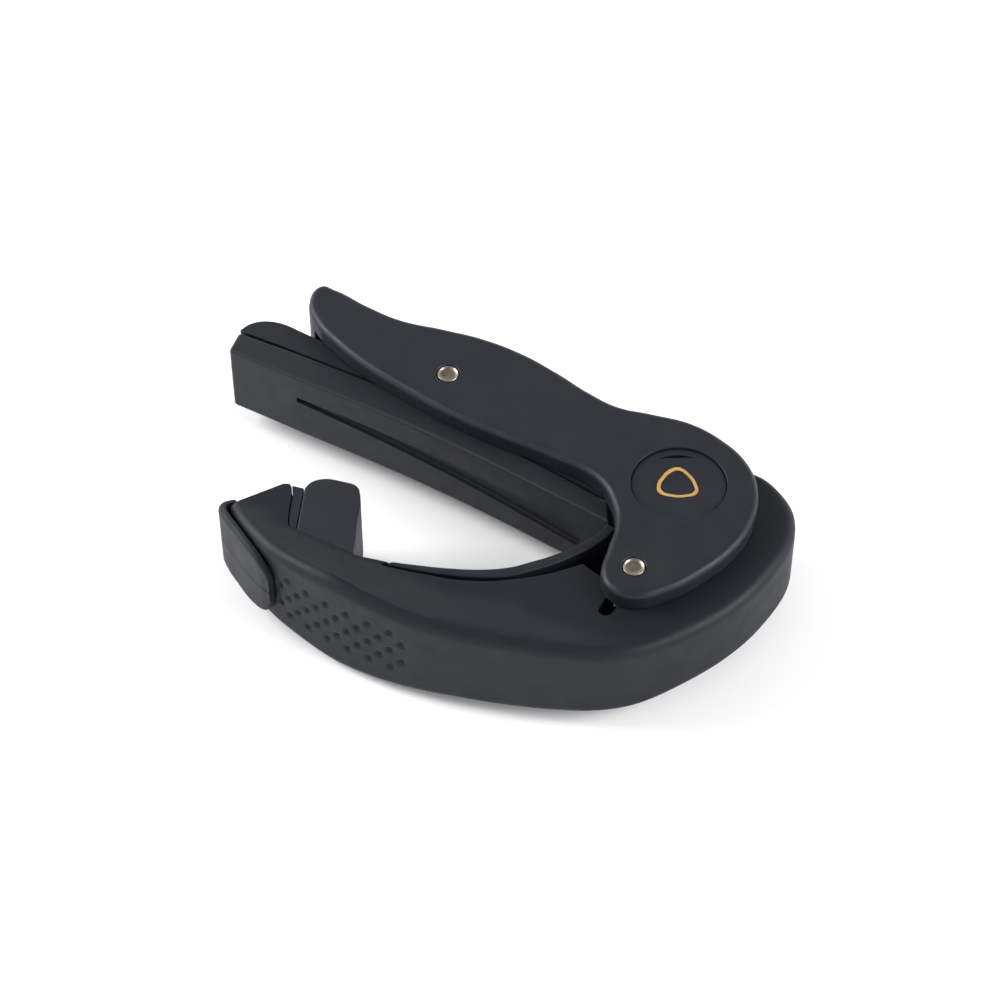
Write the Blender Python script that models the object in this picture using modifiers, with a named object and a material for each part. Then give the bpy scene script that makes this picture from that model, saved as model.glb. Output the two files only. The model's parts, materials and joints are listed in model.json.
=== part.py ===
"""Guitar capo with a ratchet-held hinged jaw and a rocking string bar.

The capo lies on its side. +X runs along the string bar towards the hinge, +Y points
from the jaw towards the handle and +Z is the thickness. Metres throughout; the plan
outlines are written in the capo's own plan units, of which OUTLINE_LENGTH is the length.
"""
import math

import bmesh
import bpy
from mathutils import Matrix, Vector

# Overall sizes
LENGTH = 0.1021
OUTLINE_LENGTH = 102.1
PLAN = LENGTH / OUTLINE_LENGTH
BODY_WIDTH = 0.0136
CHEEK = 0.0032
SLIDE_GAP = 0.0003
FIT = 0.00015

# Levels, from the face that the capo lies on
HEIGHT = BODY_WIDTH + 2 * (CHEEK + SLIDE_GAP)
MIDDLE = HEIGHT / 2
BODY_LOW = MIDDLE - BODY_WIDTH / 2
BODY_HIGH = MIDDLE + BODY_WIDTH / 2
CHEEK_LOW = CHEEK
CHEEK_HIGH = HEIGHT - CHEEK

# Axes of the three pivots, in plan units
HINGE = (23.95, 15.88)
BAR_PIN = (-20.55, 16.3)
PAWL_PIN = (26.75, -2.96)

# Edge rounding
HANDLE_ROUND = 0.0009
JAW_INNER_ROUND = 0.0007
JAW_OUTER_ROUND = 0.0015
BAR_ROUND = 0.0006
PAD_ROUND = 0.0007

# Rivets and bushes
RIVET_SHANK = 0.0013
RIVET_HEAD = 0.0018
RIVET_HEAD_DEPTH = 0.0009
RIVET_DISH = 0.00025
BUSH_WALL = 0.0006

# Hinge stack, from the cheek face inwards
CAP_RADIUS = 0.00775
CAP_INSET = 0.0004
CAP_THICKNESS = 0.0006
CAP_SLIT_INSET = 0.0011
CAP_SLIT = 0.0006
CAP_SLIT_DEPTH = 0.0003
EMBLEM_SCALE = 0.0011
EMBLEM_LINE = 0.82
EMBLEM_DEPTH = 0.0002
SCREW_HEAD = 0.0006
SCREW_HEAD_RADIUS = 0.0048
AXLE_RADIUS = 0.0030
SCREW_RADIUS = 0.0014
SCREW_DEPTH = 0.0080
EYE_RADIUS = 9.5 * PLAN
HUB_RADIUS = 0.0063
FLANGE_RADIUS = 0.0060
FLANGE = 0.0007
BUSH_DEPTH = 0.0036

# Jaw cavity, ratchet and pawl
WALL = 0.0022
PIN_TO_CAVITY_WALL = 0.0042
RATCHET_RADIUS = 0.0104
RATCHET_TOOTH = 0.0006
RATCHET_THICKNESS = 0.0030
RATCHET_TEETH = 14
RATCHET_STEP = math.radians(5.5)
RATCHET_START = math.radians(-59)
DOWEL_RADIUS = 0.0008
DOWEL_ANGLES = (math.radians(-70), math.radians(-112))
PAWL_NOSE_ANGLE = math.radians(-100)
PAWL_EYE = 0.0029
PAWL_NOSE = ((0, -0.0009), (0.0001, 0.0002), (-0.0012, 0.0010))
JAW_OPENING = math.radians(35)

# Springs
WIRE = 0.0003
COIL_STEPS = 12
PAWL_COIL_TURNS = 4
PAWL_SPRING_LEGS = (0.0070, 0.0036)
BAR_COIL_TURNS = 3
BAR_COIL_RISE = 0.0026
BAR_SPRING_LEGS = ((-33, 13.6), (-9, 22.6))
SPRING_SLOT = 0.0036

# String bar
GROOVE_DEPTH = 0.0009
SLEEVE_WALL = 0.0014
SLEEVE_FLOOR = 0.0022
GROOVE_TOP = 0.0020
GROOVE_LEFT = (-43.5, 0.9)
GROOVE_RIGHT = (12, -2.9)
STEM = (15.9, 17.1)
STEM_TOP = 6.8
STEM_HALF = 0.0038

# Plan outlines, in plan units
HANDLE_OUTLINE = [
    (-50.3, 22.3), (-47.6, 22.9), (-40.8, 22.6), (-34.2, 22.9), (-27.1, 24.9), (-20.2, 26.6),
    (-12.8, 27.2), (-5.5, 26.6), (1, 25.6), (6.8, 25.4), (12.4, 27), (18.8, 28.6), (24.9, 28.2),
    (30.9, 26), (35.3, 21.7), (37.8, 15.4), (38.1, 9.3), (36.1, 1.5), (33.4, -4), (29.8, -8),
    (26.2, -8.7), (23.2, -7), (21.1, -1.5), (19.6, 3.2), (16.8, 7), (12.2, 9.9), (4, 10.2),
    (-6, 9.4), (-15.5, 9.1), (-25.8, 9.8), (-34.5, 10.9), (-40.7, 12.5), (-45.6, 14.4), (-49.8, 18),
]
CHANNEL_OUTLINE = [
    (-46.6, 4), (-46.8, 16.5), (-45.4, 19.9), (-40.6, 20.1), (-33.8, 20.4), (-26.6, 22.4), (-19.8, 24),
    (-12.8, 24.6), (-5.5, 24), (1, 23), (8, 22.9), (9.5, 24), (9.5, 34), (50, 34), (50, -20), (20, -20),
]
CHANNEL_CORNERS = (0, 1, 11, 12, 13, 14, 15)
STRING_FACE = [(-56.6, 3.8), (-49.5, 4.2), (-42, 4.6), (-31.3, 5.3), (-19.3, 5.8), (-5.7, 5.9), (17.5, 5.3)]
SLEEVE_LINE = [(14.9, 9.2), (-7.8, 10.5), (-22.9, 11), (-41.7, 9.9), (-57.6, 8.2)]
CORE_BACK = [
    (-57.7, 8.6), (-57.2, 10.6), (-56.2, 12), (-54.6, 13.1), (-52.2, 13.8), (-48.9, 13.9), (-36, 13.9),
    (-28, 14), (-25.2, 16), (-24.3, 19), (-20.55, 20.6), (-16.8, 19), (-15.9, 15.4), (-12, 12.9),
    (4, 12.4), (12.6, 9.9), (14.9, 8.5),
]
GUARD_INNER = [
    (17.1, 4.9), (16.7, 1.9), (15.3, -1.3), (13.4, -4.9), (11, -8.2), (8.5, -11.2), (4.8, -14), (-0.5, -16.9),
    (-8.2, -20.3),
]
GUARD_THICKNESS = (1.9, 1.8, 1.8, 1.8, 1.8, 1.8, 1.6, 1.3, 0.7)
PAD_OUTLINE = [
    (-28.2, -14.6), (-28, -13), (-27, -11.6), (-25.6, -10.7), (-22.6, -9.8), (-21.2, -9.8), (-20.2, -10.5),
    (-17, -15.9), (-13.9, -21.4), (-24, -22),
]
PAD_CORNERS = (0, 8, 9)
GUARD_RELIEF = [(-8.75, -18), (-8.75, -21.5), (-8, -21.5), (-4, -20.3), (0.3, -18.8), (3, -17.2), (3, -15)]
KEYHOLE = [(24.9, -10.3), (25.2, -11.1), (26.1, -11.5), (27, -11.1), (27.3, -10.3), (27.3, -6.4), (24.9, -6.4)]
KEYHOLE_CORNERS = (0, 4, 5, 6)
CORE_SLOT = [(-37, 12.6), (-24, 12.4), (-22.4, 12), (-18.6, 12), (-15, 13), (-12, 16), (-12, 24), (-37, 24)]
EMBLEM_OUTLINE = [
    (3.1, 0), (2.1, 1.5), (0.3, 2.6), (-1.7, 2.9), (-2.6, 1.9), (-2.9, 0), (-2.6, -1.9), (-1.7, -2.9),
    (0.3, -2.6), (2.1, -1.5),
]
PAD_FLAT = 3
STRING_FLAT = 5
CLIP_OUTLINE = [(-29.75, -15.45), (-28.55, -14.6), (-24.45, -21.9), (-25.75, -21.9)]

# Jaw stations: inner point, outer point, share of the flare, place of the crease
JAW_STATIONS = [
    ((-31.4, -15.6), (-36.4, -24.2), 0, 0.72),
    ((-29.9, -15.8), (-33.6, -26.2), 0.15, 0.6),
    ((-26.2, -22.1), (-29.6, -28.1), 0.4, 0.12),
    ((-24, -22.4), (-25, -29.9), 0.57, 0.1),
    ((-19, -22.2), (-18.5, -31), 0.78, 0.1),
    ((-13.4, -21.9), (-12, -31.4), 1, 0.1),
    ((-8, -20.4), (-5, -31.2), 0.9, 0.12),
    ((0.3, -18.7), (3, -30.1), 0.65, 0.2),
    ((6.1, -16), (10, -28.1), 0.5, 0.25),
    ((10, -13.2), (16, -26), 0.45, 0.3),
    ((14.3, -9.2), (23.4, -22.9), 0.35, 0.55),
    ((17.7, -4.8), (30.3, -19.2), 0.25, 0.7),
    ((20, -1.3), (35.6, -14.2), 0.15, 0.75),
    ((20.6, 3), (40.2, -6), 0.05, 0.8),
    ((20.8, 7.5), (43, 1.4), 0, 0.8),
    ((21, 11), (44.3, 8.9), 0, 0.8),
    ((21.6, 14), (44.1, 17.4), 0, 0.8),
    ((22.2, 16.6), (41.1, 23.7), 0, 0.8),
    ((23, 18.6), (35.8, 27), 0, 0.8),
    ((23.6, 19.6), (31.6, 27.5), 0, 0.8),
    ((23.4, 19.8), (28, 26), 0, 0.8),
]
BOOT_STATIONS = [
    ((-35.9, -22.4), 5.6), ((-36.7, -24.3), 6.4), ((-34.9, -25.7), 7), ((-32.2, -27), 7.2), ((-29.4, -28.35), 7.2),
    ((-27, -29.3), 6.9), ((-25, -29.95), 6), ((-23.6, -30.1), 4.4), ((-23, -30.2), 2.4),
]
BOOT_GAP = 0.3
BOOT_THICKNESS = 1.1


def clear_scene():
    for existing in list(bpy.data.objects):
        bpy.data.objects.remove(existing, do_unlink=True)


def new_collection(name):
    group = bpy.data.collections.new(name)
    bpy.context.scene.collection.children.link(group)
    return group


def material(name, colour, roughness, metallic=0.0):
    finish = bpy.data.materials.new(name)
    finish.use_nodes = True
    shader = finish.node_tree.nodes["Principled BSDF"]
    shader.inputs["Base Color"].default_value = (*colour, 1)
    shader.inputs["Roughness"].default_value = roughness
    shader.inputs["Metallic"].default_value = metallic
    return finish


def plan_point(place, z=0.0):
    return Vector((place[0] * PLAN, place[1] * PLAN, z))


def polar(centre, radius, angle, z=0.0):
    """A point at a radius in metres and an angle about a plan place."""
    return plan_point(centre, z) + Vector((radius * math.cos(angle), radius * math.sin(angle), 0))


def empty(name, location, parent=None):
    handle = bpy.data.objects.new(name, None)
    handle.empty_display_size = 0.01
    handle.location = location
    parts.objects.link(handle)
    handle.parent = parent
    return handle


def place(obj, body, finish):
    """Give a part its material and its body's pivot as parent."""
    parts.objects.link(obj)
    obj.parent = body
    offset = body.location if body.parent else Vector((0, 0, 0))
    obj.location = obj.location - offset
    obj.data.materials.append(finish)
    return obj


def cutter(obj):
    """Put a cutting body in the cutters' collection, moving with the capo."""
    cutters.objects.link(obj)
    obj.parent = root
    obj.hide_render = True
    obj.display_type = "WIRE"
    return obj


def boolean(obj, tool, operation="DIFFERENCE"):
    change = obj.modifiers.new(operation.title(), "BOOLEAN")
    change.operation = operation
    change.object = tool
    change.solver = "EXACT"
    return obj


def bevel(obj, width, segments=2, angle=35):
    rounding = obj.modifiers.new("Rounded edges", "BEVEL")
    rounding.width = width
    rounding.segments = segments
    rounding.limit_method = "ANGLE"
    rounding.angle_limit = math.radians(angle)
    rounding.harden_normals = False
    return obj


def mesh_object(name, mesh, location=(0, 0, 0)):
    obj = bpy.data.objects.new(name, mesh)
    obj.location = location
    return obj


def curve_to_mesh(name, curve, location):
    """Turn a filled curve into one welded mesh."""
    source = bpy.data.objects.new(name + "_curve", curve)
    bpy.context.scene.collection.objects.link(source)
    graph = bpy.context.evaluated_depsgraph_get()
    mesh = bpy.data.meshes.new_from_object(source.evaluated_get(graph))
    bpy.data.objects.remove(source)
    shape = bmesh.new()
    shape.from_mesh(mesh)
    bmesh.ops.remove_doubles(shape, verts=shape.verts, dist=1e-6)
    bmesh.ops.dissolve_limit(shape, angle_limit=math.radians(0.5), verts=shape.verts, edges=shape.edges)
    bmesh.ops.recalc_face_normals(shape, faces=shape.faces)
    shape.to_mesh(mesh)
    shape.free()
    mesh.name = name
    return mesh_object(name, mesh, location)


def add_outline(curve, points, corners, straight=None):
    """Add a closed outline: smooth, but for corners and one side that is straight from its index."""
    spline = curve.splines.new("BEZIER")
    spline.bezier_points.add(len(points) - 1)
    for index, (knot, point) in enumerate(zip(spline.bezier_points, points)):
        knot.co = point
        knot.handle_left_type = "VECTOR" if index in corners else "AUTO"
        knot.handle_right_type = knot.handle_left_type
    if straight is not None:
        spline.bezier_points[straight].handle_right_type = "VECTOR"
        spline.bezier_points[straight + 1].handle_left_type = "VECTOR"
    spline.use_cyclic_u = True


def plate(name, points, low, high, corners=(), steps=3, hole=None, straight=None):
    """A flat outline, smooth but for its corners, between two levels."""
    curve = bpy.data.curves.new(name, "CURVE")
    curve.dimensions = "2D"
    curve.fill_mode = "BOTH"
    curve.extrude = (high - low) / 2
    curve.resolution_u = steps
    add_outline(curve, points, corners, straight)
    if hole:
        add_outline(curve, hole, ())
    return curve_to_mesh(name, curve, (0, 0, (low + high) / 2))


def plan_plate(name, outline, low, high, corners=(), steps=3, straight=None):
    return plate(name, [plan_point(point) for point in outline], low, high, corners, steps, straight=straight)


def polygon_plate(name, points, low, high):
    """A flat outline of straight sides between two levels."""
    return plate(name, points, low, high, range(len(points)), 1)


def cylinder(name, radius, low, high, centre, segments=32):
    shape = bmesh.new()
    bmesh.ops.create_cone(
        shape, cap_ends=True, segments=segments, radius1=radius, radius2=radius, depth=high - low
    )
    mesh = bpy.data.meshes.new(name)
    shape.to_mesh(mesh)
    shape.free()
    return mesh_object(name, mesh, plan_point(centre, (low + high) / 2))


def box(name, low_corner, high_corner):
    shape = bmesh.new()
    bmesh.ops.create_cube(shape, size=1)
    size = [high - low for low, high in zip(low_corner, high_corner)]
    bmesh.ops.scale(shape, vec=size, verts=shape.verts)
    mesh = bpy.data.meshes.new(name)
    shape.to_mesh(mesh)
    shape.free()
    return mesh_object(name, mesh, [(low + high) / 2 for low, high in zip(low_corner, high_corner)])


def turned(name, profile, centre, closed=False, steps=32):
    """Turn a profile of (radius, z) about a vertical axis at a plan place."""
    shape = bmesh.new()
    ring = [shape.verts.new((radius, 0, z)) for radius, z in profile]
    for first, second in zip(ring, ring[1:] + ring[:1] if closed else ring[1:]):
        shape.edges.new((first, second))
    mesh = bpy.data.meshes.new(name)
    shape.to_mesh(mesh)
    shape.free()
    obj = mesh_object(name, mesh, plan_point(centre))
    screw = obj.modifiers.new("Turned", "SCREW")
    screw.steps = steps
    screw.render_steps = steps
    screw.use_merge_vertices = True
    screw.merge_threshold = 1e-6
    return obj


def wire(name, points, location=(0, 0, 0)):
    """A round spring wire through points in metres."""
    curve = bpy.data.curves.new(name, "CURVE")
    curve.dimensions = "3D"
    curve.bevel_depth = WIRE
    curve.bevel_resolution = 2
    curve.use_fill_caps = True
    spline = curve.splines.new("POLY")
    spline.points.add(len(points) - 1)
    for knot, point in zip(spline.points, points):
        knot.co = (*point, 1)
    return curve_to_mesh(name, curve, location)


def smooth_rows(rows, steps):
    """Catmull-Rom rows of numbers between hand-chosen rows."""
    result = []
    count = len(rows)
    for index in range(count - 1):
        before = rows[max(index - 1, 0)]
        start = rows[index]
        end = rows[index + 1]
        after = rows[min(index + 2, count - 1)]
        for step in range(steps):
            t = step / steps
            result.append([
                0.5 * (2 * b + (c - a) * t + (2 * a - 5 * b + 4 * c - d) * t**2 + (3 * b - a - 3 * c + d) * t**3)
                for a, b, c, d in zip(before, start, end, after)
            ])
    result.append(list(rows[-1]))
    return result


def loft(name, sections):
    """Skin a row of equal rings of points and close both ends."""
    shape = bmesh.new()
    rings = [[shape.verts.new(point) for point in section] for section in sections]
    count = len(rings[0])
    for ring, following in zip(rings, rings[1:]):
        for index in range(count):
            beside = (index + 1) % count
            shape.faces.new((ring[index], ring[beside], following[beside], following[index]))
    shape.faces.new(rings[0])
    shape.faces.new(rings[-1])
    bmesh.ops.recalc_face_normals(shape, faces=shape.faces)
    mesh = bpy.data.meshes.new(name)
    shape.to_mesh(mesh)
    shape.free()
    return mesh_object(name, mesh)


def corner_arc(x, z, radius, start, end, steps=3):
    """Points of (x, z) round a corner centred at x, z between two angles in degrees."""
    angles = [math.radians(start + (end - start) * step / steps) for step in range(steps + 1)]
    return [(x + radius * math.cos(angle), z + radius * math.sin(angle)) for angle in angles]


def jaw_section(inner_x, inner_y, outer_x, outer_y, flare, crease):
    """One ring of the jaw: level inside the crease and flared towards the outer wall."""
    inner = plan_point((inner_x, inner_y))
    outer = plan_point((outer_x, outer_y))
    span = (outer - inner).length
    along = (outer - inner) / span
    level = BODY_WIDTH / 2
    peak = level + (CHEEK + SLIDE_GAP) * flare
    rounding = JAW_OUTER_ROUND
    top = corner_arc(JAW_INNER_ROUND, level - JAW_INNER_ROUND, JAW_INNER_ROUND, 180, 90)
    top.append((max(crease * span, 2 * JAW_INNER_ROUND), level))
    top += corner_arc(span - rounding, peak - rounding, rounding, 90, 0, 4)
    bottom = [(x, -z) for x, z in reversed(top)]
    return [inner + along * x + Vector((0, 0, MIDDLE + z)) for x, z in top + bottom]


def sector_outline(centre, inner, outer, start, end, steps):
    """The corners of a ring sector, in metres, between two angles."""
    angles = [start + (end - start) * step / steps for step in range(steps + 1)]
    outside = [polar(centre, outer, angle) for angle in angles]
    inside = [polar(centre, inner, angle) for angle in reversed(angles)]
    return outside + inside


def pin_reach():
    return (plan_point(PAWL_PIN) - plan_point(HINGE)).length


def pin_slot(name, low, high):
    """The jaw's slot that the pawl rivet passes along as the jaw opens."""
    reach = pin_reach()
    bearing = math.atan2(PAWL_PIN[1] - HINGE[1], PAWL_PIN[0] - HINGE[0])
    half = RIVET_SHANK + 2 * SLIDE_GAP
    start = bearing + half / reach * 1.1
    end = bearing - JAW_OPENING - half / reach * 1.5
    points = sector_outline(HINGE, reach - half, reach + half, start, end, 12)
    return polygon_plate(name, points, low, high)


def build_jaw():
    rows = [(*inner, *outer, flare, crease) for inner, outer, flare, crease in JAW_STATIONS]
    jaw = loft("jaw", [jaw_section(*row) for row in smooth_rows(rows, 3)])
    boolean(jaw, cutter(cylinder("jaw_eye", EYE_RADIUS, BODY_LOW, BODY_HIGH, HINGE, 48)), "UNION")
    start = math.radians(-158)
    end = math.radians(-48)
    cavity_radius = pin_reach() + PIN_TO_CAVITY_WALL
    ring = sector_outline(HINGE, HUB_RADIUS, cavity_radius, start, end, 22)
    boolean(jaw, cutter(polygon_plate("jaw_cavity", ring, BODY_LOW + WALL, BODY_HIGH - WALL)))
    bore = AXLE_RADIUS + BUSH_WALL + 2 * FIT
    over = SLIDE_GAP
    boolean(jaw, cutter(cylinder("jaw_bore", bore, BODY_LOW - over, BODY_HIGH + over, HINGE)))
    for side, low, high in (
        ("lower", BODY_LOW - over, BODY_LOW + FLANGE),
        ("upper", BODY_HIGH - FLANGE, BODY_HIGH + over),
    ):
        boolean(jaw, cutter(cylinder("jaw_flange_seat_" + side, FLANGE_RADIUS + FIT, low, high, HINGE)))
    for side, low, high in (
        ("lower", BODY_LOW - over, BODY_LOW + WALL + over),
        ("upper", BODY_HIGH - WALL - over, BODY_HIGH + over),
    ):
        boolean(jaw, cutter(pin_slot("jaw_pin_slot_" + side, low, high)))
        boolean(jaw, cutter(plan_plate("jaw_keyhole_" + side, KEYHOLE, low, high, KEYHOLE_CORNERS)))
    relief = [plan_point(point) for point in GUARD_RELIEF]
    boolean(jaw, cutter(polygon_plate("jaw_guard_relief", relief, -over, HEIGHT + over)))
    for angle in DOWEL_ANGLES:
        centre = dowel_place(angle)
        hole = cylinder("jaw_dowel_hole", DOWEL_RADIUS + FIT, BODY_LOW - over, BODY_HIGH + over, centre, 16)
        boolean(jaw, cutter(hole))
    return place(jaw, jaw_pivot, black_plastic)


def dowel_place(angle):
    """A ratchet dowel's place in plan units, halfway across the ratchet's ring."""
    spot = polar(HINGE, (HUB_RADIUS + RATCHET_RADIUS) / 2, angle)
    return (spot.x / PLAN, spot.y / PLAN)


def build_ratchet():
    """The toothed sector that the pawl drops into."""
    outside = []
    for tooth in range(RATCHET_TEETH):
        angle = RATCHET_START - tooth * RATCHET_STEP
        outside.append(polar(HINGE, RATCHET_RADIUS - RATCHET_TOOTH, angle))
        outside.append(polar(HINGE, RATCHET_RADIUS, angle - 0.15 * RATCHET_STEP))
    last = RATCHET_START - RATCHET_TEETH * RATCHET_STEP
    outside.append(polar(HINGE, RATCHET_RADIUS - RATCHET_TOOTH, last))
    inside = sector_outline(HINGE, HUB_RADIUS + FIT, HUB_RADIUS, RATCHET_START, last, 14)[15:]
    low = MIDDLE - RATCHET_THICKNESS / 2
    ratchet = polygon_plate("ratchet_sector", outside + inside, low, low + RATCHET_THICKNESS)
    for angle in DOWEL_ANGLES:
        hole = cylinder("ratchet_dowel_hole", DOWEL_RADIUS + FIT, low - FIT, low + RATCHET_THICKNESS + FIT,
                        dowel_place(angle), 16)
        boolean(ratchet, cutter(hole))
    place(ratchet, jaw_pivot, steel)
    for side, angle in zip(("right", "left"), DOWEL_ANGLES):
        dowel = cylinder("ratchet_dowel_" + side, DOWEL_RADIUS, BODY_LOW + FIT, BODY_HIGH - FIT,
                         dowel_place(angle), 16)
        place(dowel, jaw_pivot, steel)


def build_pawl():
    """The lever on the lower rivet that holds the jaw against opening."""
    centre = plan_point(PAWL_PIN)
    nose = polar(HINGE, RATCHET_RADIUS + 2 * SLIDE_GAP, PAWL_NOSE_ANGLE)
    along = (nose - centre).normalized()
    across = Vector((-along.y, along.x, 0))
    bearing = math.atan2(along.y, along.x)
    eye = [polar(PAWL_PIN, PAWL_EYE, bearing + math.radians(35 + 290 * step / 12)) for step in range(13)]
    points = [nose + along * forward + across * aside for forward, aside in PAWL_NOSE]
    low = MIDDLE - RATCHET_THICKNESS / 2 + FIT
    high = MIDDLE + RATCHET_THICKNESS / 2 - FIT
    pawl = polygon_plate("pawl", points + eye, low, high)
    boolean(pawl, cutter(cylinder("pawl_bore", RIVET_SHANK + FIT, low - FIT, high + FIT, PAWL_PIN)))
    place(pawl, pawl_pivot, steel)

    coil = RIVET_SHANK + FIT + 2 * WIRE
    base = high + FIT + WIRE
    rise = BODY_HIGH - WALL - FIT - WIRE - base
    count = PAWL_COIL_TURNS * COIL_STEPS
    points = [polar(PAWL_PIN, PAWL_SPRING_LEGS[0], bearing - math.radians(18), base)]
    for step in range(count + 1):
        angle = bearing - math.radians(80) + math.tau * step / COIL_STEPS
        points.append(polar(PAWL_PIN, coil, angle, base + rise * step / count))
    points.append(polar(PAWL_PIN, PAWL_SPRING_LEGS[1], angle + math.radians(60), base + rise))
    place(wire("pawl_spring", points), pawl_pivot, spring_steel)

    spacer = [
        (RIVET_SHANK + FIT + BUSH_WALL, low - FIT), (RIVET_SHANK + FIT + BUSH_WALL, BODY_LOW + WALL + FIT),
        (RIVET_SHANK + FIT, BODY_LOW + WALL + FIT), (RIVET_SHANK + FIT, low - FIT),
    ]
    place(turned("pawl_spacer", spacer, PAWL_PIN, closed=True), root, steel)


def build_handle():
    handle = plan_plate("handle", HANDLE_OUTLINE, 0, HEIGHT)
    bevel(handle, HANDLE_ROUND, 2, 50)
    boolean(handle, cutter(plan_plate("handle_channel", CHANNEL_OUTLINE, CHEEK_LOW, CHEEK_HIGH, CHANNEL_CORNERS)))
    for pin, label in ((BAR_PIN, "bar"), (PAWL_PIN, "pawl")):
        bore = cylinder("handle_bore_" + label, RIVET_SHANK + FIT, -FIT, HEIGHT + FIT, pin)
        boolean(handle, cutter(bore))
        for side, low, high in (
            ("lower", -FIT, RIVET_HEAD_DEPTH + FIT),
            ("upper", HEIGHT - RIVET_HEAD_DEPTH - FIT, HEIGHT + FIT),
        ):
            seat = cylinder("handle_" + label + "_seat_" + side, RIVET_HEAD + FIT, low, high, pin)
            boolean(handle, cutter(seat))
    boolean(handle, cutter(cylinder("handle_axle_bore", AXLE_RADIUS + FIT, -FIT, HEIGHT + FIT, HINGE)))
    depth = CAP_INSET + CAP_THICKNESS + SCREW_HEAD + 2 * FIT
    for side, low, high in (("lower", -FIT, depth), ("upper", HEIGHT - depth, HEIGHT + FIT)):
        seat = cylinder("handle_cap_seat_" + side, CAP_RADIUS + FIT, low, high, HINGE, 48)
        boolean(handle, cutter(seat))
    return place(handle, root, black_plastic)


def build_rivets():
    """Two headed rivets with dished ends, through both cheeks."""
    seat = RIVET_HEAD_DEPTH
    for label, pin in (("bar_rivet", BAR_PIN), ("pawl_rivet", PAWL_PIN)):
        top = HEIGHT
        profile = [
            (0, top - RIVET_DISH), (RIVET_HEAD * 0.6, top - RIVET_DISH), (RIVET_HEAD * 0.85, top),
            (RIVET_HEAD, top - RIVET_DISH), (RIVET_HEAD, top - seat), (RIVET_SHANK, top - seat),
            (RIVET_SHANK, seat), (RIVET_HEAD, seat), (RIVET_HEAD, RIVET_DISH), (RIVET_HEAD * 0.85, 0),
            (RIVET_HEAD * 0.6, RIVET_DISH), (0, RIVET_DISH),
        ]
        place(turned(label, profile, pin), root, nickel)


def build_hinge():
    """Axle, screw, two flanged bushes and the two caps that hide them."""
    seat = CAP_INSET + CAP_THICKNESS + SCREW_HEAD + 2 * FIT
    head_high = seat - FIT
    head_low = head_high - SCREW_HEAD
    top = HEIGHT - seat - FIT
    thread_end = top - SCREW_DEPTH - FIT
    axle = [
        (0, thread_end), (SCREW_RADIUS + FIT, thread_end), (SCREW_RADIUS + FIT, top), (AXLE_RADIUS, top),
        (AXLE_RADIUS, head_high), (SCREW_HEAD_RADIUS, head_high), (SCREW_HEAD_RADIUS, head_low), (0, head_low),
    ]
    place(turned("hinge_axle", axle, HINGE), root, steel)
    under = HEIGHT - head_high
    over = HEIGHT - head_low
    screw = [
        (0, over), (SCREW_HEAD_RADIUS, over), (SCREW_HEAD_RADIUS, under), (SCREW_RADIUS, under),
        (SCREW_RADIUS, top - SCREW_DEPTH + FIT), (0, top - SCREW_DEPTH + FIT),
    ]
    screw_body = turned("hinge_screw", screw, HINGE)
    slot = box(
        "hinge_screw_slot",
        (-SCREW_HEAD_RADIUS, -FLANGE / 2, over - SCREW_HEAD / 2), (SCREW_HEAD_RADIUS, FLANGE / 2, over + FIT),
    )
    slot.location += plan_point(HINGE)
    place(boolean(screw_body, cutter(slot)), root, steel)

    inner = AXLE_RADIUS + FIT
    outer = inner + BUSH_WALL
    for side, face, sign in (("upper", BODY_HIGH, 1), ("lower", BODY_LOW, -1)):
        proud = face + sign * FIT
        seat_level = face - sign * (FLANGE - FIT)
        end = face - sign * BUSH_DEPTH
        profile = [
            (inner, proud), (FLANGE_RADIUS, proud), (FLANGE_RADIUS, seat_level), (outer, seat_level),
            (outer, end), (inner, end),
        ]
        if sign < 0:
            profile.reverse()
        place(turned("hinge_bush_" + side, profile, HINGE, closed=True), jaw_pivot, brass)


def emblem_outline(scale):
    """A plectrum outline about the hinge, pointing along the handle."""
    return [plan_point(HINGE) + Vector((x * scale, y * scale, 0)) for x, y in EMBLEM_OUTLINE]


def build_caps():
    top = HEIGHT - CAP_INSET
    badge = cylinder("badge_cap", CAP_RADIUS, top - CAP_THICKNESS, top, HINGE, 48)
    recess = plate("badge_recess", emblem_outline(EMBLEM_SCALE + FIT / 4), top - EMBLEM_DEPTH, top + FIT)
    boolean(badge, cutter(recess))
    reach = CAP_RADIUS - CAP_SLIT_INSET
    slit = [polar(HINGE, reach, math.radians(80 + 10 * step)) for step in range(6)]
    for step in range(1, 5):
        inset = CAP_SLIT * math.sin(math.pi * step / 5)
        slit.append(polar(HINGE, reach - inset, math.radians(130 - 10 * step)))
    boolean(badge, cutter(polygon_plate("badge_slit", slit, top - CAP_SLIT_DEPTH, top + FIT)))
    place(badge, root, black_plastic)
    hole = emblem_outline(EMBLEM_SCALE * EMBLEM_LINE)
    emblem = plate("badge_emblem", emblem_outline(EMBLEM_SCALE), top - EMBLEM_DEPTH + FIT / 2, top + FIT / 3,
                   hole=hole)
    place(emblem, root, gold)
    place(cylinder("plain_cap", CAP_RADIUS, CAP_INSET, CAP_INSET + CAP_THICKNESS, HINGE, 48), root, black_plastic)


def sleeve_outline():
    return STRING_FACE + SLEEVE_LINE


def shifted(points, amount):
    return [(x, y + amount) for x, y in points]


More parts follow.
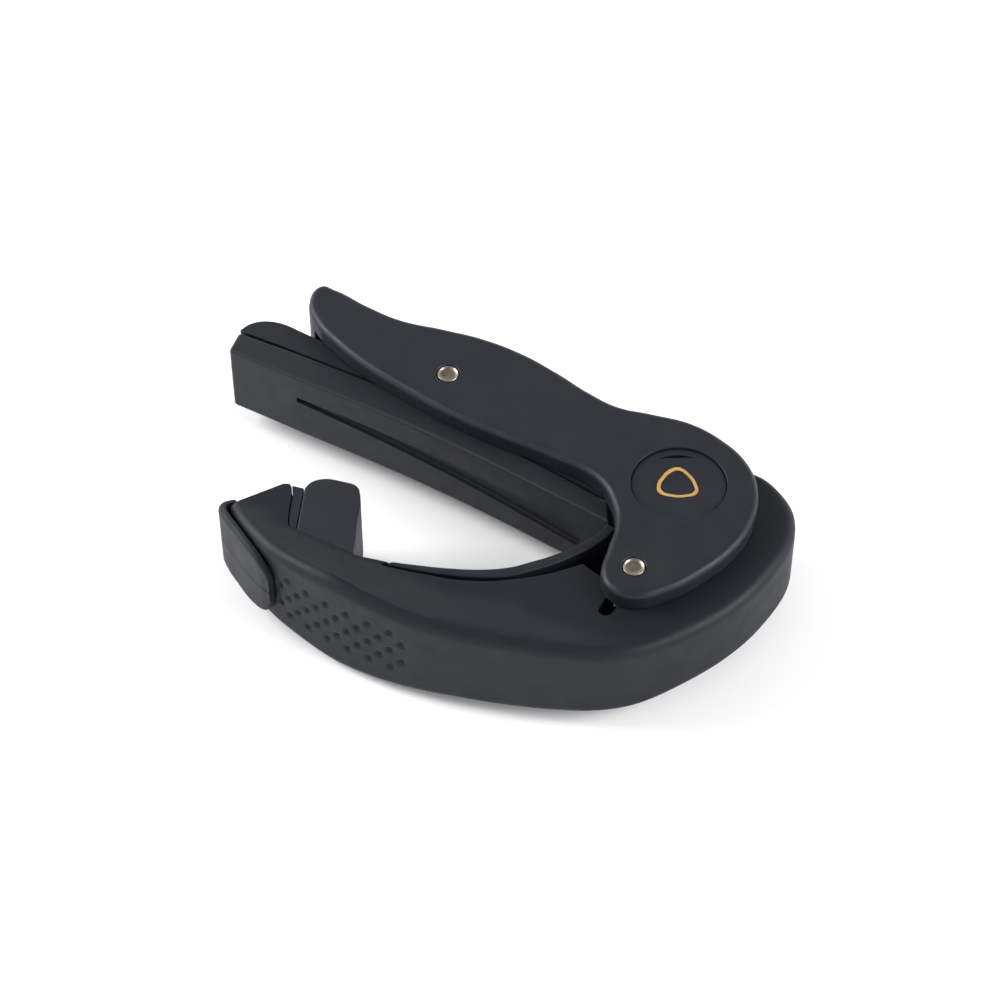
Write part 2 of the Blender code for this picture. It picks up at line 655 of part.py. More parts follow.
def build_string_bar():
    """Rigid core in a rubber sleeve; the core carries the lug on the bar rivet."""
    gap = 0.15
    floor = SLEEVE_FLOOR / PLAN
    face = shifted(STRING_FACE, floor)
    face[0] = (STRING_FACE[0][0] + 1.6, STRING_FACE[0][1] + floor)
    face[-1] = (CORE_BACK[-1][0], face[-1][1])
    shoulder = (face[0][0], CORE_BACK[0][1] + 0.35)
    core_outline = face + CORE_BACK[::-1] + [shoulder]
    bend = len(face) - 1
    corners = (0, bend, bend + 1, len(core_outline) - 2, len(core_outline) - 1)
    core = plan_plate("bar_core", core_outline, BODY_LOW, BODY_HIGH, corners)
    lip = [(-60, 2)] + STRING_FACE[1:-1] + [(18, 2)] + shifted(SLEEVE_LINE, gap)
    lip[7] = (18, SLEEVE_LINE[0][1] + gap - 0.2)
    lip[-1] = (-60, SLEEVE_LINE[-1][1] + gap)
    shelf = SLEEVE_WALL + FIT
    for side, low, high in (
        ("lower", BODY_LOW - FIT, BODY_LOW + shelf),
        ("upper", BODY_HIGH - shelf, BODY_HIGH + FIT),
    ):
        boolean(core, cutter(plan_plate("core_step_" + side, lip, low, high, (0, 5, 6, 7, 11))))
    bush_hole = RIVET_SHANK + BUSH_WALL + 2 * FIT
    boolean(core, cutter(cylinder("core_bore", bush_hole, BODY_LOW - FIT, BODY_HIGH + FIT, BAR_PIN)))
    slot_half = SPRING_SLOT / 2
    slot = plan_plate("core_spring_slot", CORE_SLOT, MIDDLE - slot_half, MIDDLE + slot_half, range(8), 1)
    boolean(core, cutter(slot))
    place(core, bar_pivot, black_plastic)

    sleeve = plan_plate("string_pad", sleeve_outline(), BODY_LOW, BODY_HIGH, (0, 6, 7, 11), straight=STRING_FLAT)
    bevel(sleeve, BAR_ROUND, 2, 50)
    end = face[-1][0] + gap
    pocket = shifted(face[:-1], -gap) + [(end, face[-1][1] - gap), (end, 14), (face[0][0] - gap, 14)]
    pocket[0] = (face[0][0] - gap, pocket[0][1])
    inside = BODY_LOW + SLEEVE_WALL
    tool = plan_plate("sleeve_pocket", pocket, inside, BODY_HIGH - SLEEVE_WALL, (0, 6, 7, 8))
    boolean(sleeve, cutter(tool))
    boolean(sleeve, cutter(sleeve_groove()))
    boolean(sleeve, cutter(guard_stem("sleeve_stem_slot", FIT)))
    place(sleeve, bar_pivot, rubber)

    inner = RIVET_SHANK + FIT
    outer = inner + BUSH_WALL
    for side, low, high in (
        ("upper", MIDDLE + slot_half + FIT, BODY_HIGH + FIT), ("lower", BODY_LOW - FIT, MIDDLE - slot_half - FIT),
    ):
        ring = [(inner, high), (outer, high), (outer, low), (inner, low)]
        place(turned("bar_bush_" + side, ring, BAR_PIN, closed=True), bar_pivot, brass)


def sleeve_groove():
    """The groove in the string face: level along its top and falling away along its bottom."""
    left, fall_left = GROOVE_LEFT
    right, fall_right = GROOVE_RIGHT
    bottom = shifted(STRING_FACE, GROOVE_DEPTH / PLAN)
    outline = [(left, bottom[2][1])] + bottom[3:6] + [(right, bottom[6][1]), (right, 2), (left, 2)]
    low = MIDDLE + fall_right * PLAN
    groove = plan_plate("sleeve_groove", outline, low, MIDDLE + GROOVE_TOP, (0, 4, 5, 6))
    slope = math.atan2((fall_left - fall_right) * PLAN, (right - left) * PLAN)
    deep = GROOVE_TOP + 2 * BODY_WIDTH
    wedge = box("sleeve_groove_floor", (-LENGTH, -LENGTH / 4, -deep), (LENGTH, LENGTH / 4, 0))
    wedge.data.transform(Matrix.Translation((0, 0, -deep / 2)))
    wedge.rotation_euler = (0, slope, 0)
    wedge.location = plan_point((right, 0), low)
    return boolean(groove, cutter(wedge))


def guard_stem(name, gap):
    """The tongue that holds the guard in the end of the bar, or its slot."""
    low = plan_point((STEM[0], 4.4), MIDDLE - STEM_HALF) - Vector((gap, gap, gap))
    high = plan_point((STEM[1], STEM_TOP), MIDDLE + STEM_HALF) + Vector((gap, gap, gap))
    return box(name, low, high)


def build_guard():
    """The thin curved guard that closes the opening beside the hinge."""
    rows = [(x, y, thick) for (x, y), thick in zip(GUARD_INNER, GUARD_THICKNESS)]
    rows = smooth_rows(rows, 3)
    sections = []
    half = BODY_WIDTH / 2
    for index, (x, y, thick) in enumerate(rows):
        before = rows[max(index - 1, 0)]
        after = rows[min(index + 1, len(rows) - 1)]
        heading = Vector((after[0] - before[0], after[1] - before[1], 0)).normalized()
        away = Vector((-heading.y, heading.x, 0))
        near = plan_point((x, y))
        far = near + away * thick * PLAN
        sections.append([
            near + Vector((0, 0, MIDDLE + half)), far + Vector((0, 0, MIDDLE + half)),
            far + Vector((0, 0, MIDDLE - half)), near + Vector((0, 0, MIDDLE - half)),
        ])
    guard = loft("side_guard", sections)
    bevel(guard, 0.0003, 2, 50)
    boolean(guard, cutter(guard_stem("guard_stem", 0)), "UNION")
    place(guard, bar_pivot, black_plastic)


def build_pads():
    pad = plan_plate("neck_pad", PAD_OUTLINE, BODY_LOW, BODY_HIGH, PAD_CORNERS, straight=PAD_FLAT)
    bevel(pad, PAD_ROUND, 2, 50)
    place(pad, jaw_pivot, rubber)
    place(plan_plate("pad_clip", CLIP_OUTLINE, BODY_LOW + FIT, BODY_HIGH - FIT, range(4), 1), jaw_pivot, black_plastic)


def build_boot():
    """The rubber boot on the outside of the jaw's tip."""
    rows = smooth_rows([(*spot, half) for spot, half in BOOT_STATIONS], 3)
    sections = []
    for index, (x, y, half) in enumerate(rows):
        before = rows[max(index - 1, 0)]
        after = rows[min(index + 1, len(rows) - 1)]
        heading = Vector((after[0] - before[0], after[1] - before[1], 0)).normalized()
        away = Vector((heading.y, -heading.x, 0))
        near = plan_point((x, y)) + away * BOOT_GAP * PLAN
        far = near + away * BOOT_THICKNESS * PLAN
        tall = half * PLAN
        rounding = BOOT_THICKNESS * PLAN * 0.6
        sections.append([
            near + Vector((0, 0, MIDDLE + tall)),
            far - away * rounding + Vector((0, 0, MIDDLE + tall)),
            far + Vector((0, 0, MIDDLE + tall - rounding)),
            far + Vector((0, 0, MIDDLE - tall + rounding)),
            far - away * rounding + Vector((0, 0, MIDDLE - tall)),
            near + Vector((0, 0, MIDDLE - tall)),
        ])
    place(loft("tip_boot", sections), jaw_pivot, rubber)


def build_bar_spring():
    """The torsion spring round the bar rivet that keeps the bar and the handle apart."""
    radius = RIVET_SHANK + FIT + 3 * WIRE
    base = MIDDLE - BAR_COIL_RISE / 2
    count = BAR_COIL_TURNS * COIL_STEPS + 4
    points = [plan_point(BAR_SPRING_LEGS[0], base)]
    for step in range(count + 1):
        angle = math.radians(200) - math.tau * step / COIL_STEPS
        points.append(polar(BAR_PIN, radius, angle, base + BAR_COIL_RISE * step / count))
    points.append(plan_point(BAR_SPRING_LEGS[1], base + BAR_COIL_RISE))
    place(wire("bar_spring", points), root, spring_steel)


def centre_on_floor():
    """Put the middle of the capo's box on the origin, in plan; it already lies on the floor."""
    graph = bpy.context.evaluated_depsgraph_get()
    corners = []
    for obj in parts.objects:
        if obj.type == "MESH":
            shape = obj.evaluated_get(graph)
            corners += [shape.matrix_world @ vertex.co for vertex in shape.data.vertices]
    for axis in (0, 1):
        values = [corner[axis] for corner in corners]
        root.location[axis] = -(min(values) + max(values)) / 2
    bpy.context.view_layer.update()


clear_scene()
parts = new_collection("guitar_capo")
cutters = new_collection("cutters")
black_plastic = material("Black plastic", (0.030, 0.033, 0.042), 0.5)
rubber = material("Black rubber", (0.022, 0.024, 0.030), 0.65)
nickel = material("Nickel", (0.62, 0.58, 0.53), 0.3, 1.0)
steel = material("Steel", (0.45, 0.45, 0.46), 0.35, 1.0)
spring_steel = material("Spring steel", (0.35, 0.35, 0.36), 0.3, 1.0)
brass = material("Sintered bronze", (0.55, 0.40, 0.20), 0.4, 1.0)
gold = material("Gold print", (0.85, 0.58, 0.18), 0.35, 1.0)

root = empty("capo_root", (0, 0, 0))
jaw_pivot = empty("jaw_pivot", plan_point(HINGE), root)
bar_pivot = empty("bar_pivot", plan_point(BAR_PIN), root)
pawl_pivot = empty("pawl_pivot", plan_point(PAWL_PIN), root)

build_handle()
build_jaw()
build_ratchet()
build_pawl()
build_rivets()
build_hinge()
build_caps()
build_string_bar()
build_guard()
build_pads()
build_boot()
build_bar_spring()
bpy.context.view_layer.update()
centre_on_floor()
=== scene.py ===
"""Studio view of the guitar capo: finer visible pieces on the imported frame, with finishes and light."""

import json
import math

import bmesh
import bpy
from mathutils import Matrix, Vector

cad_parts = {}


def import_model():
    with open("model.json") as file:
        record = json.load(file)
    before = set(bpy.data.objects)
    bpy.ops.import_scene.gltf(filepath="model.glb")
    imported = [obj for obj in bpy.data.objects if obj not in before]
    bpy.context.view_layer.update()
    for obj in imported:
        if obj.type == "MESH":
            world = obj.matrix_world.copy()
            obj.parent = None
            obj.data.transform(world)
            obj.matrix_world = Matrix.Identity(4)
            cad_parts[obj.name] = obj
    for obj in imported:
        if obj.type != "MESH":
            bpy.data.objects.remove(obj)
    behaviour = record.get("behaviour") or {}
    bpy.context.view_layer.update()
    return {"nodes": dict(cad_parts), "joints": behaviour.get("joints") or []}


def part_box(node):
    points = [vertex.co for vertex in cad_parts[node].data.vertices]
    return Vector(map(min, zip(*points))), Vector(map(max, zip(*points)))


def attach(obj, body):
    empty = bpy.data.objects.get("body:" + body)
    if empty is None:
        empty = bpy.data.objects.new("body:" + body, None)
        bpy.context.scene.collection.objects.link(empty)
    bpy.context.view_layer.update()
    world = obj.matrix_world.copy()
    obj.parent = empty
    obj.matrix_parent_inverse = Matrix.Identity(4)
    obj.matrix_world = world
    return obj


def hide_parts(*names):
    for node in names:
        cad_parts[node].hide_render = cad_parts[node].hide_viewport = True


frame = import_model()
nodes = frame["nodes"]

# Sizes that the frame gives: the capo's height, the body's levels and the three pivots
HINGE = (23.95, 15.88)
BAR_PIN = (-20.55, 16.3)
PAWL_PIN = (26.75, -2.96)
PLAN = 0.001
joint_places = {joint["name"]: Vector(joint["pos_m"]) for joint in frame["joints"]}
OFFSET = joint_places["jaw_hinge"] - Vector((HINGE[0] * PLAN, HINGE[1] * PLAN, 0))
OFFSET.z = 0
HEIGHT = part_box("handle")[1][2]
MIDDLE = HEIGHT / 2
BODY_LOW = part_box("string_pad")[0][2]
BODY_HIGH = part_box("string_pad")[1][2]
CHEEK = 0.0032
FIT = 0.00015
SLIDE_GAP = 0.0003

# Rivets, caps and eye
RIVET_HEAD = 0.0018
RIVET_SHANK = 0.0013
RIVET_SEAT = 0.00095
RIVET_DISH = [
    (0, 0.00030), (0.50, 0.00029), (0.74, 0.00024), (0.81, 0.00014), (0.86, 0.00005), (0.90, 0.00001),
    (0.93, 0.00002), (0.96, 0.00007), (0.985, 0.00016), (1, 0.00028),
]
RIVET_SEAT_PLAY = 0.00005
# Rivet head depths where the painted rim highlight begins and where it is full
RIM_HIGHLIGHT_FADE = (0.00022, 0.00008)
CAP_RADIUS = 0.00775
CAP_INSET = 0.0004
CAP_SEAT = 0.0019
CAP_FIT = 0.00003
CAP_SKIN = 0.0006
SLIT_REACH = CAP_RADIUS * 0.82
SLIT_WIDTH = 0.0006
SLIT_START = 96
SLIT_STEPS = 28
SLIT_STEP = 2
EMBLEM_SCALE = 0.0011
EMBLEM_LINE = 0.82
EMBLEM_RECESS_SCALE = 0.00112
EMBLEM_RECESS = 0.00012
EMBLEM_SINK = 0.00010
EMBLEM_HEIGHT = 0.00013
EYE_RADIUS = 9.5 * PLAN
AXLE_RADIUS = 0.0030
BUSH_WALL = 0.0006
FLANGE_RADIUS = 0.0060
FLANGE = 0.0007
HUB_RADIUS = 0.0063
WALL = 0.0022
PIN_TO_CAVITY_WALL = 0.0042
JAW_OPENING = math.radians(35)
CAVITY_START = math.radians(-158)
CAVITY_END = math.radians(-48)
SLOT_START_ROOM = 1.1
SLOT_END_ROOM = 1.5

# Rounding
HANDLE_ROUND = 0.0011
JAW_INNER_ROUND = 0.0003
JAW_OUTER_ROUND = 0.0019
BAR_ROUND = 0.0009
CORE_ROUND = 0.0005
PAD_ROUND = 0.0009
GUARD_ROUND = 0.00035
SEAT_LIP = 0.00012
CAP_RIM = 0.00025
CLIP_ROUND = 0.00012
GROOVE_ROUND = 0.0003
BOOT_END_ROUND = 0.0003
ROUND_STEPS = 5
FINE_STEPS = 160

# Grip dimples on the jaw's outer wall: first column, column pitch, row pitch, radius and depth
DIMPLE_START = 0.01555
DIMPLE_PITCH = 0.001945
DIMPLE_ROW = 0.00215
DIMPLE_COLUMNS = 13
DIMPLE_RADIUS = 0.00085
DIMPLE_DEPTH = 0.00056

# String bar
GROOVE_DEPTH = 0.0009
GROOVE_TOP = 0.0020
GROOVE_LEFT = (-43.5, 0.9)
GROOVE_RIGHT = (12, -2.9)
SLEEVE_WALL = 0.0014
SLEEVE_FLOOR = 0.0022
SLEEVE_GAP = 0.15
CORE_INSET = 1.6
CORE_SHOULDER = 0.35

HANDLE_OUTLINE = [
    (-50.3, 22.3), (-47.6, 22.9), (-40.8, 22.6), (-34.2, 22.9), (-27.1, 24.9), (-20.2, 26.6),
    (-12.8, 27.2), (-5.5, 26.6), (1, 25.6), (6.8, 25.4), (12.4, 27), (18.8, 28.6), (24.9, 28.2),
    (30.9, 26), (35.3, 21.7), (37.8, 15.4), (38.1, 9.3), (36.1, 1.5), (33.4, -4), (29.8, -8),
    (26.2, -8.7), (23.2, -7), (21.1, -1.5), (19.6, 3.2), (16.8, 7), (12.2, 9.9), (4, 10.2),
    (-6, 9.4), (-15.5, 9.1), (-25.8, 9.8), (-34.5, 10.9), (-40.7, 12.5), (-45.6, 14.4), (-49.8, 18),
]
CHANNEL_OUTLINE = [
    (-46.6, 4), (-46.8, 16.5), (-45.4, 19.9), (-40.6, 20.1), (-33.8, 20.4), (-26.6, 22.4), (-19.8, 24),
    (-12.8, 24.6), (-5.5, 24), (1, 23), (8, 22.9), (9.5, 24), (9.5, 34), (50, 34), (50, -20), (20, -20),
]
CHANNEL_CORNERS = (0, 1, 11, 12, 13, 14, 15)
STRING_FACE = [(-56.6, 3.8), (-49.5, 4.2), (-42, 4.6), (-31.3, 5.3), (-19.3, 5.8), (-5.7, 5.9), (17.5, 5.3)]
SLEEVE_LINE = [(14.9, 9.2), (-7.8, 10.5), (-22.9, 11), (-41.7, 9.9), (-57.6, 8.2)]
CORE_BACK = [
    (-57.7, 8.6), (-57.2, 10.6), (-56.2, 12), (-54.6, 13.1), (-52.2, 13.8), (-48.9, 13.9), (-36, 13.9),
    (-28, 14), (-25.2, 16), (-24.3, 19), (-20.55, 20.6), (-16.8, 19), (-15.9, 15.4), (-12, 12.9),
    (4, 12.4), (12.6, 9.9), (14.9, 8.5),
]
CORE_SLOT = [(-37, 12.6), (-24, 12.4), (-22.4, 12), (-18.6, 12), (-15, 13), (-12, 16), (-12, 24), (-37, 24)]
SPRING_SLOT = 0.0036
GUARD_INNER = [
    (17.1, 4.9), (16.7, 1.9), (15.3, -1.3), (13.4, -4.9), (11, -8.2), (8.5, -11.2), (4.8, -14),
    (-0.5, -16.9), (-8.2, -20.3),
]
GUARD_THICKNESS = (1.9, 1.8, 1.8, 1.8, 1.8, 1.8, 1.6, 1.3, 0.7)
GUARD_RELIEF = [
    (-6.4, -18.04), (-8.85, -21.5), (-8, -21.5), (-4, -20.3), (0.3, -18.8), (3, -17.2), (3, -15),
]
GUARD_END = [(-8.48, -21.6), (-7.18, -19.76), (-9.5, -19.76), (-9.5, -21.6)]
PAD_OUTLINE = [
    (-28.2, -14.6), (-28, -13), (-27, -11.6), (-25.6, -10.7), (-22.6, -9.8), (-21.2, -9.8), (-20.2, -10.5),
    (-17, -15.9), (-13.7, -22.0), (-24.2, -22.6),
]
CLIP_OUTLINE = [
    (-30.3, -15.2), (-29.75, -15.8), (-29.37, -16.3), (-28.93, -17.05), (-28.45, -17.95), (-27.93, -18.9),
    (-27.41, -19.87), (-26.91, -20.76), (-26.45, -21.52), (-26.05, -22.05), (-25.75, -22.3), (-25.4, -22.5),
    (-24.9, -22.42), (-24.47, -22.3), (-28.31, -14.65),
]
CLIP_DROP = 0.0003
KEYHOLE = [
    (24.9, -10.3), (25.2, -11.1), (26.1, -11.5), (27, -11.1), (27.3, -10.3), (27.3, -6.4), (24.9, -6.4),
]
JAW_STATIONS = [
    ((-31.4, -15.6), (-36.4, -24.2), 0, 0.72),
    ((-29.9, -15.8), (-33.6, -26.2), 0.15, 0.6),
    ((-26.2, -22.1), (-29.6, -28.1), 0.4, 0.12),
    ((-24, -22.4), (-25, -29.9), 0.57, 0.1),
    ((-19, -22.2), (-18.5, -31), 0.78, 0.1),
    ((-13.4, -21.9), (-12, -31.4), 1, 0.1),
    ((-8, -20.4), (-5, -31.2), 0.9, 0.12),
    ((0.3, -18.7), (3, -30.1), 0.65, 0.2),
    ((6.1, -16), (10, -28.1), 0.5, 0.25),
    ((10, -13.2), (16, -26), 0.45, 0.3),
    ((14.3, -9.2), (23.4, -22.9), 0.35, 0.55),
    ((17.7, -4.8), (30.3, -19.2), 0.25, 0.7),
    ((20, -1.3), (35.6, -14.2), 0.15, 0.75),
    ((20.6, 3), (40.2, -6), 0.05, 0.8),
    ((20.8, 7.5), (43, 1.4), 0, 0.8),
    ((21, 11), (44.3, 8.9), 0, 0.8),
    ((21.6, 14), (44.1, 17.4), 0, 0.8),
    ((22.2, 16.6), (41.1, 23.7), 0, 0.8),
    ((23, 18.6), (35.8, 27), 0, 0.8),
    ((23.6, 19.6), (31.6, 27.5), 0, 0.8),
    ((23.4, 19.8), (28, 26), 0, 0.8),
]
BOOT_STATIONS = [
    ((-35.9, -22.4), 5.6), ((-36.7, -24.3), 6.4), ((-34.9, -25.7), 7), ((-32.2, -27), 7.2),
    ((-29.4, -28.35), 7.2), ((-27, -29.3), 6.9), ((-25.3, -29.9), 6.1), ((-24.1, -30.05), 4.6),
    ((-23.5, -30.15), 2.6),
]
BOOT_GAP = 0.3
BOOT_THICKNESS = 1.1
BOOT_SEAM = 0.0002
BOOT_RIM_SHARE = 0.75
SEAM_HIGH = 0.00022
SEAM_LOW = 0.0001

# Stage
CAMERA_LENS = 108
CAMERA_SENSOR = 36
CAMERA_AZIMUTH = math.radians(32.4)
CAMERA_ELEVATION = math.radians(49)
CAMERA_DISTANCE = 0.4839
CAMERA_TARGET_HIGH = 0.0171
FLOOR_HALF = 3
LAMP_SIZE = 0.8
LAMP_AIM = (0, 0, 0.01)
LEFT_LAMP = ((-1.2, -0.35, 0.8), 25)
RIGHT_LAMP = ((1.2, 0.35, 0.8), 22)
SKY_LOW = (0.3, (1, 1, 1, 1))
SKY_HIGH = (0.65, (0.22, 0.22, 0.23, 1))
SKY_STRENGTH = 1.5

# Plastic grain: mottling, specks, clouds, waviness and fine grain, as noise scales
MOTTLE_SCALE = 90
SPECK_SCALE = 1900
CLOUD_SCALE = 260
WAVE_SCALE = 700
GRAIN_SCALE = 5200
SPECK_GAIN = 1.6

# ---------------------------------------------------------------- shapes


def plan_point(place, z=0.0):
    return Vector((place[0] * PLAN, place[1] * PLAN, z)) + OFFSET


def polar(centre, radius, angle, z=0.0):
    return plan_point(centre, z) + Vector((radius * math.cos(angle), radius * math.sin(angle), 0))


def mesh_object(name, mesh):
    obj = bpy.data.objects.new(name, mesh)
    bpy.context.scene.collection.objects.link(obj)
    return obj


def from_bmesh(name, shape):
    bmesh.ops.recalc_face_normals(shape, faces=shape.faces)
    mesh = bpy.data.meshes.new(name)
    shape.to_mesh(mesh)
    shape.free()
    return mesh_object(name, mesh)


def add_outline(curve, points, corners, straight=None):
    spline = curve.splines.new("BEZIER")
    spline.bezier_points.add(len(points) - 1)
    for index, (knot, point) in enumerate(zip(spline.bezier_points, points)):
        knot.co = point
        knot.handle_left_type = "VECTOR" if index in corners else "AUTO"
        knot.handle_right_type = knot.handle_left_type
    if straight is not None:
        spline.bezier_points[straight].handle_right_type = "VECTOR"
        spline.bezier_points[straight + 1].handle_left_type = "VECTOR"
    spline.use_cyclic_u = True


def plate(name, points, low, high, corners=(), steps=12, hole=None, straight=None):
    """A flat outline, smooth but for its corners, between two levels."""
    curve = bpy.data.curves.new(name, "CURVE")
    curve.dimensions = "2D"
    curve.fill_mode = "BOTH"
    curve.extrude = (high - low) / 2
    curve.resolution_u = steps
    add_outline(curve, points, corners, straight)
    if hole:
        add_outline(curve, hole, ())
    source = bpy.data.objects.new(name + "_curve", curve)
    bpy.context.scene.collection.objects.link(source)
    graph = bpy.context.evaluated_depsgraph_get()
    mesh = bpy.data.meshes.new_from_object(source.evaluated_get(graph))
    bpy.data.objects.remove(source)
    bpy.data.curves.remove(curve)
    shape = bmesh.new()
    shape.from_mesh(mesh)
    bpy.data.meshes.remove(mesh)
    bmesh.ops.remove_doubles(shape, verts=shape.verts, dist=1e-6)
    inner = [
        edge for edge in shape.edges
        if edge.link_faces and all(abs(face.normal.z) > 0.9 for face in edge.link_faces)
    ]
    bmesh.ops.dissolve_edges(shape, edges=inner, use_verts=False)
    bmesh.ops.translate(shape, verts=shape.verts, vec=(0, 0, (low + high) / 2))
    return from_bmesh(name, shape)


def plan_plate(name, outline, low, high, corners=(), steps=12, straight=None):
    points = [plan_point(point) for point in outline]
    return plate(name, points, low, high, corners, steps, straight=straight)


def polygon_plate(name, points, low, high):
    return plate(name, points, low, high, range(len(points)), 1)


def turned(name, profile, centre, closed=False, steps=96):
    """Turn a profile of (radius, z) about a vertical axis at a plan place."""
    shape = bmesh.new()
    middle = plan_point(centre)
    rings = []
    for radius, z in profile:
        if radius < 1e-7:
            rings.append([shape.verts.new(middle + Vector((0, 0, z)))])
        else:
            rings.append([
                shape.verts.new(polar(centre, radius, math.tau * step / steps, z)) for step in range(steps)
            ])
    pairs = list(zip(rings, rings[1:] + rings[:1] if closed else rings[1:]))
    for first, second in pairs:
        for step in range(steps):
            corners = []
            for ring, index in ((first, step), (first, step + 1), (second, step + 1), (second, step)):
                vertex = ring[index % len(ring)]
                if vertex not in corners:
                    corners.append(vertex)
            if len(corners) > 2:
                shape.faces.new(corners)
    return from_bmesh(name, shape)


def cylinder(name, radius, low, high, centre, steps=96):
    return turned(name, [(0, low), (radius, low), (radius, high), (0, high)], centre, steps=steps)


def box(name, low_corner, high_corner):
    shape = bmesh.new()
    bmesh.ops.create_cube(shape, size=1)
    size = [high - low for low, high in zip(low_corner, high_corner)]
    bmesh.ops.scale(shape, vec=size, verts=shape.verts)
    centre = [(low + high) / 2 for low, high in zip(low_corner, high_corner)]
    bmesh.ops.translate(shape, vec=centre, verts=shape.verts)
    return from_bmesh(name, shape)


def smooth_rows(rows, steps):
    """Catmull-Rom rows of numbers between given rows."""
    result = []
    count = len(rows)
    for index in range(count - 1):
        before = rows[max(index - 1, 0)]
        start = rows[index]
        end = rows[index + 1]
        after = rows[min(index + 2, count - 1)]
        for step in range(steps):
            t = step / steps
            result.append([
                0.5 * (
                    2 * b + (c - a) * t + (2 * a - 5 * b + 4 * c - d) * t**2
                    + (3 * b - a - 3 * c + d) * t**3
                )
                for a, b, c, d in zip(before, start, end, after)
            ])
    result.append(list(rows[-1]))
    return result


def loft(name, sections):
    shape = bmesh.new()
    rings = [[shape.verts.new(point) for point in section] for section in sections]
    count = len(rings[0])
    for ring, following in zip(rings, rings[1:]):
        for index in range(count):
            beside = (index + 1) % count
            shape.faces.new((ring[index], ring[beside], following[beside], following[index]))
    shape.faces.new(rings[0])
    shape.faces.new(rings[-1])
    return from_bmesh(name, shape)


def cut(obj, tools, operation="DIFFERENCE"):
    """Cut with several bodies at once and drop them."""
    group = bpy.data.collections.new(obj.name + "_tools")
    for tool in tools:
        group.objects.link(tool)
    change = obj.modifiers.new(operation.title(), "BOOLEAN")
    change.operation = operation
    change.operand_type = "COLLECTION"
    change.collection = group
    change.solver = "EXACT"
    bake(obj)
    for tool in tools:
        mesh = tool.data
        bpy.data.objects.remove(tool)
        bpy.data.meshes.remove(mesh)
    bpy.data.collections.remove(group)
    return obj


def bevel(obj, width, segments=6, angle=40):
    rounding = obj.modifiers.new("Rounded edges", "BEVEL")
    rounding.width = width
    rounding.segments = segments
    rounding.limit_method = "ANGLE"
    rounding.angle_limit = math.radians(angle)
    rounding.harden_normals = False
    return bake(obj)


def bake(obj):
    """Apply every modifier to the mesh."""
    bpy.context.view_layer.update()
    graph = bpy.context.evaluated_depsgraph_get()
    mesh = bpy.data.meshes.new_from_object(obj.evaluated_get(graph))
    old = obj.data
    obj.modifiers.clear()
    obj.data = mesh
    bpy.data.meshes.remove(old)
    mesh.name = obj.name
    return obj


def finish(obj, body, node, paint, sharp=32):
    """Shade smooth between sharp edges, give the material and ride on the body."""
    shape = bmesh.new()
    shape.from_mesh(obj.data)
    bmesh.ops.remove_doubles(shape, verts=shape.verts, dist=2e-7)
    for face in shape.faces:
        face.smooth = True
    for edge in shape.edges:
        edge.smooth = edge.calc_face_angle(0) < math.radians(sharp)
    shape.to_mesh(obj.data)
    shape.free()
    weighted = obj.modifiers.new("Face weights", "WEIGHTED_NORMAL")
    weighted.keep_sharp = True
    weighted.weight = 80
    obj.data.materials.clear()
    obj.data.materials.append(paint)
    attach(obj, body)
    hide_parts(node)
    return obj


# ---------------------------------------------------------------- finishes


